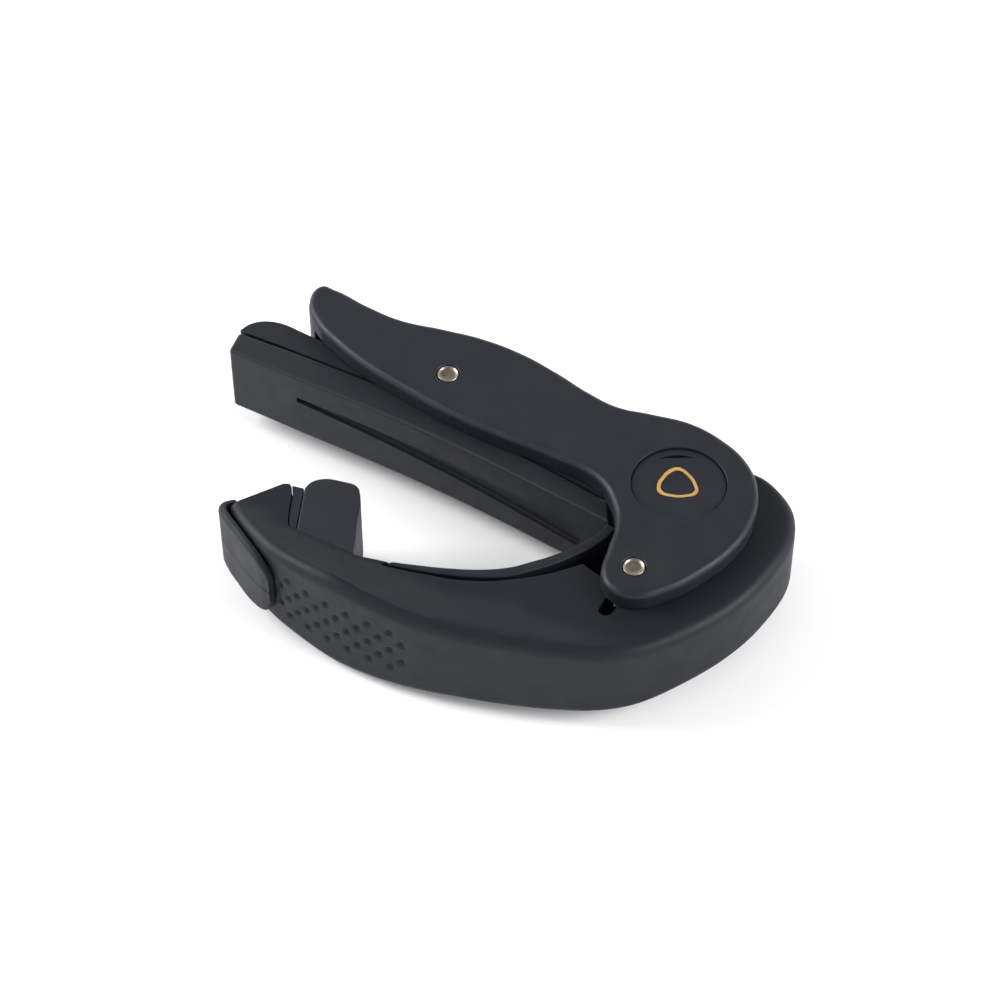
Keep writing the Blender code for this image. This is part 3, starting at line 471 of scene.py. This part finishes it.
class Finish:
    """Small helper that wires up one procedural material."""

    def __init__(self, name):
        self.paint = bpy.data.materials.new(name)
        self.paint.use_nodes = True
        self.tree = self.paint.node_tree
        self.shader = self.tree.nodes["Principled BSDF"]
        self.place = self.tree.nodes.new("ShaderNodeTexCoord").outputs["Object"]

    def noise(self, scale, detail=4, roughness=0.6, stretch=None):
        source = self.place
        if stretch:
            mapping = self.tree.nodes.new("ShaderNodeMapping")
            mapping.inputs["Scale"].default_value = stretch
            self.tree.links.new(source, mapping.inputs["Vector"])
            source = mapping.outputs["Vector"]
        node = self.tree.nodes.new("ShaderNodeTexNoise")
        node.inputs["Scale"].default_value = scale
        node.inputs["Detail"].default_value = detail
        node.inputs["Roughness"].default_value = roughness
        self.tree.links.new(source, node.inputs["Vector"])
        return node.outputs["Fac"]

    def range(self, value, low, high, start=0.3, end=0.7):
        node = self.tree.nodes.new("ShaderNodeMapRange")
        for socket, number in (("From Min", start), ("From Max", end), ("To Min", low), ("To Max", high)):
            node.inputs[socket].default_value = number
        self.tree.links.new(value, node.inputs["Value"])
        return node.outputs["Result"]

    def outside(self, near, far):
        """0 nearer to the capo's middle plane than the first distance, 1 beyond the second."""
        split = self.tree.nodes.new("ShaderNodeSeparateXYZ")
        self.tree.links.new(self.place, split.inputs["Vector"])
        centred = self.tree.nodes.new("ShaderNodeMath")
        centred.operation = "SUBTRACT"
        centred.inputs[1].default_value = MIDDLE
        self.tree.links.new(split.outputs["Z"], centred.inputs[0])
        distance = self.tree.nodes.new("ShaderNodeMath")
        distance.operation = "ABSOLUTE"
        self.tree.links.new(centred.outputs[0], distance.inputs[0])
        return self.range(distance.outputs[0], 0, 1, near, far)

    def mix(self, factor, first, second):
        node = self.tree.nodes.new("ShaderNodeMix")
        node.data_type = "RGBA"
        for socket, value in ((node.inputs[0], factor), (node.inputs[6], first), (node.inputs[7], second)):
            if isinstance(value, bpy.types.NodeSocket):
                self.tree.links.new(value, socket)
            elif isinstance(value, tuple):
                socket.default_value = (*value, 1)
            else:
                socket.default_value = value
        return node.outputs[2]

    def bump(self, layers):
        normal = None
        for height, distance, strength in layers:
            node = self.tree.nodes.new("ShaderNodeBump")
            node.inputs["Distance"].default_value = distance
            node.inputs["Strength"].default_value = strength
            self.tree.links.new(height, node.inputs["Height"])
            if normal:
                self.tree.links.new(normal, node.inputs["Normal"])
            normal = node.outputs["Normal"]
        self.tree.links.new(normal, self.shader.inputs["Normal"])

    def plug(self, **values):
        for name, value in values.items():
            socket = self.shader.inputs[name.replace("_", " ").title().replace("Ior", "IOR")]
            if isinstance(value, bpy.types.NodeSocket):
                self.tree.links.new(value, socket)
            elif isinstance(value, tuple):
                socket.default_value = (*value, 1)
            else:
                socket.default_value = value


def moulded(name, dark, light, rough, grain=0.000012, sheen=0.0, shine=0.28):
    """Satin moulded plastic or rubber: fine grain, faint mottling and a few light specks."""
    look = Finish(name)
    mottle = look.noise(MOTTLE_SCALE, 5, 0.65)
    fine = look.noise(GRAIN_SCALE, 2, 0.5)
    colour = look.mix(look.range(mottle, 0, 1), dark, light)
    speck = look.range(look.noise(SPECK_SCALE, 1), 0, 0.35, 0.66, 0.74)
    colour = look.mix(speck, colour, tuple(value * SPECK_GAIN for value in light))
    cloudy = look.noise(CLOUD_SCALE, 3, 0.6)
    look.plug(base_color=colour, roughness=look.range(cloudy, rough - 0.05, rough + 0.06))
    look.shader.inputs["Specular IOR Level"].default_value = shine
    look.shader.inputs["Sheen Weight"].default_value = sheen
    look.shader.inputs["Sheen Roughness"].default_value = 0.5
    look.bump([(look.noise(WAVE_SCALE, 3, 0.5), 0.00002, 0.25), (fine, grain, 0.6)])
    return look.paint


def metal(name, dark, light, rough, stretch=None, grain=0.000006, rim_highlight=None):
    """Metal with a mottled tarnish and fine lines, and a lighter outermost rim, a painted highlight, where
    one is given.
    """
    look = Finish(name)
    tarnish = look.noise(600, 5, 0.7)
    lines = look.noise(3200, 3, 0.6, stretch)
    colour = look.mix(look.range(tarnish, 0, 1), dark, light)
    # Painted highlight: the outermost rim of a rivet head gets the lighter rim colour.
    if rim_highlight:
        colour = look.mix(look.outside(MIDDLE - RIM_HIGHLIGHT_FADE[0], MIDDLE - RIM_HIGHLIGHT_FADE[1]), colour, rim_highlight)
    look.plug(base_color=colour, roughness=look.range(lines, rough - 0.06, rough + 0.1), metallic=1.0)
    look.bump([(lines, grain, 0.5)])
    return look.paint


PLASTIC = moulded("black_plastic_satin", (0.0085, 0.0100, 0.0145), (0.0105, 0.0122, 0.0175), 0.46)
JAW_PLASTIC = moulded(
    "black_plastic_soft_touch", (0.0072, 0.0084, 0.0120), (0.0092, 0.0106, 0.0148), 0.50, shine=0.20
)
RUBBER = moulded(
    "black_rubber_matt", (0.0070, 0.0082, 0.0118), (0.0090, 0.0105, 0.0148), 0.56, 0.00002, 0.03
)
BOOT_RUBBER = moulded(
    "black_rubber_textured", (0.0092, 0.0103, 0.0138), (0.0125, 0.0139, 0.0182), 0.55, 0.00005, 0.04, 0.20
)
# The nickel rivets' rim colour is a painted highlight; their darker mottled colour is tarnish.
NICKEL = metal("nickel_rivet", (0.20, 0.155, 0.12), (0.36, 0.30, 0.24), 0.34, rim_highlight=(0.30, 0.28, 0.26))
STEEL = metal("steel_turned", (0.36, 0.36, 0.37), (0.52, 0.52, 0.53), 0.34, (1, 1, 6))
SPRING = metal("spring_wire", (0.25, 0.25, 0.26), (0.42, 0.42, 0.43), 0.3)
BRONZE = metal("sintered_bronze", (0.38, 0.25, 0.11), (0.55, 0.40, 0.20), 0.45)
GOLD = metal("gold_print", (0.80, 0.48, 0.15), (0.94, 0.61, 0.22), 0.48)


# ---------------------------------------------------------------- pieces


def rivet_tools(pin):
    """The two head seats of a rivet, with a small chamfer at the face."""
    seat = RIVET_HEAD + FIT
    tools = []
    for floor, face, sign in ((HEIGHT - RIVET_SEAT, HEIGHT, 1), (RIVET_SEAT, 0, -1)):
        profile = [
            (0, floor), (seat, floor), (seat, face - sign * SEAT_LIP), (seat + SEAT_LIP, face),
            (seat + SEAT_LIP, face + sign * FIT), (0, face + sign * FIT),
        ]
        tools.append(turned("rivet_seat", profile, pin, steps=64))
    return tools


def make_handle():
    """The handle's shell: rounded outline, channel, rivet seats, cap seats and bores."""
    handle = plan_plate("handle_shell", HANDLE_OUTLINE, 0, HEIGHT, steps=16)
    bevel(handle, HANDLE_ROUND, 8, 50)
    channel = plan_plate("channel", CHANNEL_OUTLINE, CHEEK, HEIGHT - CHEEK, CHANNEL_CORNERS)
    tools = [channel] + rivet_tools(BAR_PIN) + rivet_tools(PAWL_PIN)
    wide = CAP_RADIUS + CAP_FIT
    for floor, face, sign in ((HEIGHT - CAP_SEAT, HEIGHT, 1), (CAP_SEAT, 0, -1)):
        profile = [(0, floor), (wide, floor), (wide, face - sign * SEAT_LIP)]
        for step in range(1, ROUND_STEPS + 1):
            angle = math.radians(90 * step / ROUND_STEPS)
            out = SEAT_LIP * (1 - math.cos(angle))
            profile.append((wide + out, face - sign * SEAT_LIP * (1 - math.sin(angle))))
        profile += [(wide + SEAT_LIP, face + sign * FIT), (0, face + sign * FIT)]
        tools.append(turned("cap_seat", profile, HINGE, steps=FINE_STEPS))
    cut(handle, tools)
    axle = cylinder("axle_bore", AXLE_RADIUS + FIT, -FIT, HEIGHT + FIT, HINGE)
    bores = [
        cylinder("bore", RIVET_SHANK + FIT, -FIT, HEIGHT + FIT, pin, 48) for pin in (BAR_PIN, PAWL_PIN)
    ]
    cut(handle, [axle] + bores)
    return finish(handle, "handle", "handle", PLASTIC)


def make_rivets():
    """Rivets with a rounded rim round a shallow dish; the rim's lighter colour is a painted highlight."""
    for name, pin in (("bar_rivet", BAR_PIN), ("pawl_rivet", PAWL_PIN)):
        top = [(share * RIVET_HEAD, HEIGHT - depth) for share, depth in RIVET_DISH]
        bottom = [(share * RIVET_HEAD, depth) for share, depth in RIVET_DISH]
        seat = RIVET_SEAT - RIVET_SEAT_PLAY
        profile = top + [
            (RIVET_HEAD, HEIGHT - seat), (RIVET_SHANK, HEIGHT - seat), (RIVET_SHANK, seat),
            (RIVET_HEAD, seat),
        ] + bottom[::-1]
        finish(turned(name + "_dished", profile, pin), "handle", name, NICKEL)


def emblem_outline(scale):
    """A plectrum's outline round the hinge."""
    heights = ((3.1, 0), (2.1, 1.5), (0.3, 2.6), (-1.7, 2.9), (-2.6, 1.9), (-2.9, 0),
               (-2.6, -1.9), (-1.7, -2.9), (0.3, -2.6), (2.1, -1.5))
    return [plan_point(HINGE) + Vector((x * scale, y * scale, 0)) for x, y in heights]


def slit_outline():
    """A crescent near the cap's edge."""
    end = SLIT_START + SLIT_STEP * SLIT_STEPS
    outside = [
        polar(HINGE, SLIT_REACH, math.radians(SLIT_START + SLIT_STEP * step))
        for step in range(SLIT_STEPS + 1)
    ]
    inside = []
    for step in range(1, SLIT_STEPS):
        depth = SLIT_WIDTH * math.sin(math.pi * step / SLIT_STEPS)
        inside.append(polar(HINGE, SLIT_REACH - depth, math.radians(end - SLIT_STEP * step)))
    return outside + inside


def make_caps():
    """The hinge caps: a rounded rim, and on the top one a crescent slit and a gold plectrum."""
    for name, face, sign in (("badge_cap", HEIGHT - CAP_INSET, 1), ("plain_cap", CAP_INSET, -1)):
        back = face - sign * CAP_SKIN
        profile = [(0, face), (CAP_RADIUS - CAP_RIM, face)]
        for step in range(1, ROUND_STEPS + 1):
            angle = math.radians(90 * step / ROUND_STEPS)
            radius = CAP_RADIUS - CAP_RIM * (1 - math.sin(angle))
            profile.append((radius, face - sign * CAP_RIM * (1 - math.cos(angle))))
        profile += [(CAP_RADIUS, back), (0, back)]
        cap = turned(name + "_moulded", profile, HINGE, steps=FINE_STEPS)
        if sign > 0:
            slit = polygon_plate("slit", slit_outline(), back - FIT, face + FIT)
            outline = emblem_outline(EMBLEM_RECESS_SCALE)
            recess = plate("recess", outline, face - EMBLEM_RECESS, face + FIT, steps=16)
            cut(cap, [slit, recess])
        finish(cap, "handle", name, PLASTIC)
    low = HEIGHT - CAP_INSET - EMBLEM_SINK
    emblem = plate(
        "emblem_plectrum", emblem_outline(EMBLEM_SCALE), low, low + EMBLEM_HEIGHT, steps=16,
        hole=emblem_outline(EMBLEM_SCALE * EMBLEM_LINE),
    )
    finish(emblem, "handle", "badge_emblem", GOLD)


def dimple(along_wall, z):
    """Depth of the grip dimples at a place on the jaw's outer wall."""
    column = round((along_wall - DIMPLE_START) / DIMPLE_PITCH)
    deepest = 0.0
    for number in (column - 1, column, column + 1):
        if 0 <= number < DIMPLE_COLUMNS:
            rows = (-1, 1) if number % 2 == 0 else (-2, 0, 2)
            for row in rows:
                across = along_wall - DIMPLE_START - number * DIMPLE_PITCH
                away = math.hypot(across, z - row * DIMPLE_ROW)
                if away < DIMPLE_RADIUS:
                    deepest = max(deepest, DIMPLE_DEPTH * (1 - (away / DIMPLE_RADIUS) ** 2) ** 1.5)
    return deepest


def corner_arc(x, z, radius, start, end, steps):
    angles = [math.radians(start + (end - start) * step / steps) for step in range(steps + 1)]
    return [(x + radius * math.cos(angle), z + radius * math.sin(angle)) for angle in angles]


def jaw_ring(row, along_wall):
    """One ring of the jaw: top, outer wall with its dimples, underside and inner wall."""
    inner_x, inner_y, outer_x, outer_y, flare, crease = row
    inner = plan_point((inner_x, inner_y))
    outer = plan_point((outer_x, outer_y))
    span = (outer - inner).length
    along = (outer - inner) / span
    level = (BODY_HIGH - BODY_LOW) / 2
    peak = level + (CHEEK + SLIDE_GAP) * flare
    rounding = JAW_OUTER_ROUND
    top = corner_arc(JAW_INNER_ROUND, level - JAW_INNER_ROUND, JAW_INNER_ROUND, 180, 90, 6)
    bend = max(crease * span, 2 * JAW_INNER_ROUND)
    far = span - rounding
    soft = min(0.0016, (far - bend) * 0.5, (bend - JAW_INNER_ROUND) * 0.9)
    slope = (peak - level) / (far - bend)
    for step in range(9):
        x = bend - soft + 2 * soft * step / 8
        ease = (step / 8) ** 2
        top.append((x, level + slope * soft * ease))
    for step in range(1, 4):
        x = bend + soft + (far - bend - soft) * step / 4
        top.append((x, level + slope * (x - bend)))
    top += corner_arc(span - rounding, peak - rounding, rounding, 90, 0, 10)
    wall_high = peak - rounding
    steps = 44
    wall = []
    for step in range(1, steps):
        z = wall_high * (1 - 2 * step / steps)
        wall.append((span - dimple(along_wall, z), z))
    bottom = [(x, -z) for x, z in reversed(top)]
    return [inner + along * x + Vector((0, 0, MIDDLE + z)) for x, z in top + wall + bottom]


def sector(centre, inner, outer, start, end, steps):
    angles = [start + (end - start) * step / steps for step in range(steps + 1)]
    outside = [polar(centre, outer, angle) for angle in angles]
    inside = [polar(centre, inner, angle) for angle in reversed(angles)]
    return outside + inside


def make_jaw():
    """The jaw: a loft along its curve, joined to the hinge's eye, then hollowed and bored."""
    rows = [(*inner, *outer, flare, crease) for inner, outer, flare, crease in JAW_STATIONS]
    dense = smooth_rows(rows, 26)
    sections = []
    along_wall = 0.0
    for index, row in enumerate(dense):
        if index:
            before = dense[index - 1]
            along_wall += math.hypot(row[2] - before[2], row[3] - before[3]) * PLAN
        sections.append(jaw_ring(row, along_wall))
    jaw = loft("jaw_arm", sections)
    cut(jaw, [cylinder("eye", EYE_RADIUS, BODY_LOW, BODY_HIGH, HINGE, 128)], "UNION")
    over = SLIDE_GAP
    reach = math.dist(PAWL_PIN, HINGE) * PLAN
    bearing = math.atan2(PAWL_PIN[1] - HINGE[1], PAWL_PIN[0] - HINGE[0])
    half = RIVET_SHANK + 2 * SLIDE_GAP
    cavity = sector(HINGE, HUB_RADIUS, reach + PIN_TO_CAVITY_WALL, CAVITY_START, CAVITY_END, 60)
    cut(jaw, [polygon_plate("cavity", cavity, BODY_LOW + WALL, BODY_HIGH - WALL)])
    first = bearing + half / reach * SLOT_START_ROOM
    last = bearing - JAW_OPENING - half / reach * SLOT_END_ROOM
    slot = sector(HINGE, reach - half, reach + half, first, last, 40)
    walls = ((BODY_LOW - over, BODY_LOW + WALL + over), (BODY_HIGH - WALL - over, BODY_HIGH + over))
    for low, high in walls:
        cut(jaw, [polygon_plate("pin_slot", slot, low, high)])
        cut(jaw, [plan_plate("keyhole", KEYHOLE, low, high, (0, 4, 5, 6), 16)])
    bush_bore = AXLE_RADIUS + BUSH_WALL + 2 * FIT
    cut(jaw, [cylinder("bore", bush_bore, BODY_LOW - over, BODY_HIGH + over, HINGE)])
    cut(jaw, [
        cylinder("flange_low", FLANGE_RADIUS + FIT, BODY_LOW - over, BODY_LOW + FLANGE, HINGE),
        cylinder("flange_high", FLANGE_RADIUS + FIT, BODY_HIGH - FLANGE, BODY_HIGH + over, HINGE),
    ])
    relief = [plan_point(point) for point in GUARD_RELIEF]
    cut(jaw, [polygon_plate("guard_relief", relief, -over, HEIGHT + over)])
    return finish(jaw, "jaw", "jaw", JAW_PLASTIC, 28)


def shifted(points, amount):
    return [(x, y + amount) for x, y in points]


def make_bar():
    """The rigid core and the rubber sleeve with its tapered groove."""
    floor = SLEEVE_FLOOR / PLAN
    face = shifted(STRING_FACE, floor)
    face[0] = (STRING_FACE[0][0] + CORE_INSET, STRING_FACE[0][1] + floor)
    face[-1] = (CORE_BACK[-1][0], face[-1][1])
    shoulder = (face[0][0], CORE_BACK[0][1] + CORE_SHOULDER)
    outline = face + CORE_BACK[::-1] + [shoulder]
    bend = len(face) - 1
    corners = (0, bend, bend + 1, len(outline) - 2, len(outline) - 1)
    core = plan_plate("bar_core_shell", outline, BODY_LOW, BODY_HIGH, corners)
    bevel(core, CORE_ROUND, 5, 50)
    lip = [(-60, 2)] + STRING_FACE[1:-1] + [(18, 2)] + shifted(SLEEVE_LINE, SLEEVE_GAP)
    lip[7] = (18, SLEEVE_LINE[0][1] + SLEEVE_GAP - 0.2)
    lip[-1] = (-60, SLEEVE_LINE[-1][1] + SLEEVE_GAP)
    shelf = SLEEVE_WALL + FIT
    over = 2 * FIT
    tools = []
    for low, high in ((BODY_LOW - over, BODY_LOW + shelf), (BODY_HIGH - shelf, BODY_HIGH + over)):
        tools.append(plan_plate("step", lip, low, high, (0, 5, 6, 7, 11)))
    bush_bore = RIVET_SHANK + BUSH_WALL + 2 * FIT
    tools.append(cylinder("bore", bush_bore, BODY_LOW - over, BODY_HIGH + over, BAR_PIN))
    cut(core, tools)
    half = SPRING_SLOT / 2
    cut(core, [plan_plate("slot", CORE_SLOT, MIDDLE - half, MIDDLE + half, range(8), 1)])
    finish(core, "string_bar", "bar_core", PLASTIC)

    outline = STRING_FACE + SLEEVE_LINE
    sleeve = plan_plate("string_sleeve", outline, BODY_LOW, BODY_HIGH, (0, 6, 7, 11), straight=5)
    bevel(sleeve, BAR_ROUND, 7, 50)
    start = face[0][0] - SLEEVE_GAP
    end = face[-1][0] + SLEEVE_GAP
    pocket = shifted(face[:-1], -SLEEVE_GAP) + [(end, face[-1][1] - SLEEVE_GAP), (end, 14), (start, 14)]
    pocket[0] = (start, pocket[0][1])
    inside = plan_plate("pocket", pocket, BODY_LOW + SLEEVE_WALL, BODY_HIGH - SLEEVE_WALL, (0, 6, 7, 8))
    cut(sleeve, [inside])
    cut(sleeve, [groove()])
    finish(sleeve, "string_bar", "string_pad", RUBBER, 30)


def groove():
    """The groove in the string face: level along its top, falling away below, round at its left end."""
    left, fall_left = GROOVE_LEFT
    right, fall_right = GROOVE_RIGHT
    line = shifted(STRING_FACE, GROOVE_DEPTH / PLAN)
    low = MIDDLE + fall_right * PLAN
    outline = [(left, line[2][1])] + line[3:6] + [(right, line[6][1]), (right, 2), (left, 2)]
    body = plan_plate("groove", outline, low, MIDDLE + GROOVE_TOP, (0, 4, 5, 6))
    slope = math.atan2((fall_left - fall_right) * PLAN, (right - left) * PLAN)
    wedge = box("wedge", (-0.1, -0.03, -0.04), (0.1, 0.03, 0))
    wedge.data.transform(Matrix.Rotation(slope, 4, "Y"))
    wedge.data.transform(Matrix.Translation(plan_point((right, 0), low)))
    cut(body, [wedge])
    return bevel(body, GROOVE_ROUND, 4, 50)


def ribbon(rows, section, name):
    """A strip along a line of (x, y, width) rows in plan, built from rings across it."""
    sections = []
    for index, (x, y, width) in enumerate(rows):
        before = rows[max(index - 1, 0)]
        after = rows[min(index + 1, len(rows) - 1)]
        heading = Vector((after[0] - before[0], after[1] - before[1], 0)).normalized()
        sections.append(section(plan_point((x, y)), Vector((-heading.y, heading.x, 0)), width * PLAN))
    return loft(name, sections)


def guard_ring(near, away, thick):
    """A flat strip with rounded long edges."""
    half = (BODY_HIGH - BODY_LOW) / 2
    rounding = min(GUARD_ROUND, thick * 0.4)
    corners = (
        corner_arc(rounding, half - rounding, rounding, 180, 90, 5)
        + corner_arc(thick - rounding, half - rounding, rounding, 90, 0, 5)
        + corner_arc(thick - rounding, rounding - half, rounding, 0, -90, 5)
        + corner_arc(rounding, rounding - half, rounding, -90, -180, 5)
    )
    return [near + away * x + Vector((0, 0, MIDDLE + z)) for x, z in corners]


def make_guard():
    """The side guard: a tapering strip whose end is cut on a slant."""
    rows = smooth_rows([(x, y, thick) for (x, y), thick in zip(GUARD_INNER, GUARD_THICKNESS)], 16)
    guard = ribbon(rows, guard_ring, "side_guard_strip")
    cut(guard, [plan_plate("guard_end", GUARD_END, BODY_LOW - FIT, BODY_HIGH + FIT, range(4), 1)])
    finish(guard, "string_bar", "side_guard", PLASTIC)


def make_pad():
    """The neck pad, let into the jaw, and the clip beside it."""
    pad = plan_plate("neck_pad_moulded", PAD_OUTLINE, BODY_LOW, BODY_HIGH, (0, 8, 9), straight=3)
    bevel(pad, PAD_ROUND, 8, 50)
    finish(pad, "jaw", "neck_pad", RUBBER)
    outline = [plan_point(point) for point in CLIP_OUTLINE]
    clip = polygon_plate("pad_clip_plate", outline, BODY_LOW + CLIP_DROP, BODY_HIGH - CLIP_DROP)
    bevel(clip, CLIP_ROUND, 3, 60)
    finish(clip, "jaw", "pad_clip", PLASTIC)


def boot_ring(near, away, tall):
    """The boot's section: rounded rim and a shallow seam at mid height."""
    start = BOOT_GAP * PLAN
    thick = BOOT_THICKNESS * PLAN
    rounding = thick * BOOT_RIM_SHARE
    upper = [(start, tall)] + corner_arc(start + thick - rounding, tall - rounding, rounding, 90, 0, 9)
    for step in range(1, 12):
        z = (tall - rounding) * (1 - step / 12)
        upper.append((start + thick, z))
    upper += [(start + thick, SEAM_HIGH), (start + thick - BOOT_SEAM, SEAM_LOW)]
    lower = [(x, -z) for x, z in reversed(upper)]
    return [near - away * x + Vector((0, 0, MIDDLE + z)) for x, z in upper + lower]


def make_boot():
    rows = smooth_rows([(*spot, half) for spot, half in BOOT_STATIONS], 14)
    boot = ribbon(rows, boot_ring, "tip_boot_moulded")
    bevel(boot, BOOT_END_ROUND, 3, 70)
    finish(boot, "jaw", "tip_boot", BOOT_RUBBER)


def dress_hidden():
    """Better finishes on the metal parts that stay as the CAD has them."""
    looks = {
        "hinge_axle": STEEL, "hinge_screw": STEEL, "hinge_bush_upper": BRONZE, "hinge_bush_lower": BRONZE,
        "bar_bush_upper": BRONZE, "bar_bush_lower": BRONZE, "ratchet_sector": STEEL,
        "ratchet_dowel_left": STEEL, "ratchet_dowel_right": STEEL, "pawl": STEEL, "pawl_spacer": STEEL,
        "pawl_spring": SPRING, "bar_spring": SPRING,
    }
    for name, look in looks.items():
        for place in nodes[name].material_slots:
            place.material = look


# ---------------------------------------------------------------- stage


def camera():
    view = bpy.data.cameras.new("photo_view")
    view.lens = CAMERA_LENS
    view.sensor_width = CAMERA_SENSOR
    eye = bpy.data.objects.new("photo_view", view)
    bpy.context.scene.collection.objects.link(eye)
    target = OFFSET + Vector((0, 0, CAMERA_TARGET_HIGH))
    level = math.cos(CAMERA_ELEVATION)
    away = Vector((
        math.sin(CAMERA_AZIMUTH) * level, -math.cos(CAMERA_AZIMUTH) * level, math.sin(CAMERA_ELEVATION)
    ))
    eye.location = target + away * CAMERA_DISTANCE
    eye.rotation_euler = away.to_track_quat("Z", "Y").to_euler()
    bpy.context.scene.camera = eye


def floor():
    shape = bmesh.new()
    bmesh.ops.create_grid(shape, x_segments=1, y_segments=1, size=FLOOR_HALF)
    ground = from_bmesh("floor", shape)
    paint = bpy.data.materials.new("floor_white")
    paint.use_nodes = True
    shader = paint.node_tree.nodes["Principled BSDF"]
    shader.inputs["Base Color"].default_value = (0.97, 0.97, 0.97, 1)
    shader.inputs["Roughness"].default_value = 0.9
    ground.data.materials.append(paint)


def light(name, location, power):
    lamp = bpy.data.lights.new(name, "AREA")
    lamp.size = LAMP_SIZE
    lamp.energy = power
    body = bpy.data.objects.new(name, lamp)
    body.location = location
    body.rotation_euler = (Vector(location) - Vector(LAMP_AIM)).to_track_quat("Z", "Y").to_euler()
    bpy.context.scene.collection.objects.link(body)


def world():
    """A sky that is white near the horizon and grey overhead."""
    sky = bpy.data.worlds.new("studio")
    sky.use_nodes = True
    tree = sky.node_tree
    place = tree.nodes.new("ShaderNodeTexCoord").outputs["Generated"]
    split = tree.nodes.new("ShaderNodeSeparateXYZ")
    ramp = tree.nodes.new("ShaderNodeValToRGB")
    tree.links.new(place, split.inputs["Vector"])
    tree.links.new(split.outputs["Z"], ramp.inputs["Fac"])
    for element, (position, colour) in zip(ramp.color_ramp.elements, (SKY_LOW, SKY_HIGH)):
        element.position = position
        element.color = colour
    tree.links.new(ramp.outputs["Color"], tree.nodes["Background"].inputs["Color"])
    tree.nodes["Background"].inputs["Strength"].default_value = SKY_STRENGTH
    bpy.context.scene.world = sky
    bpy.context.scene.view_settings.view_transform = "Standard"


camera()
floor()
make_handle()
make_rivets()
make_caps()
make_jaw()
make_bar()
make_guard()
make_pad()
make_boot()
dress_hidden()
light("left", *LEFT_LAMP)
light("right", *RIGHT_LAMP)
world()
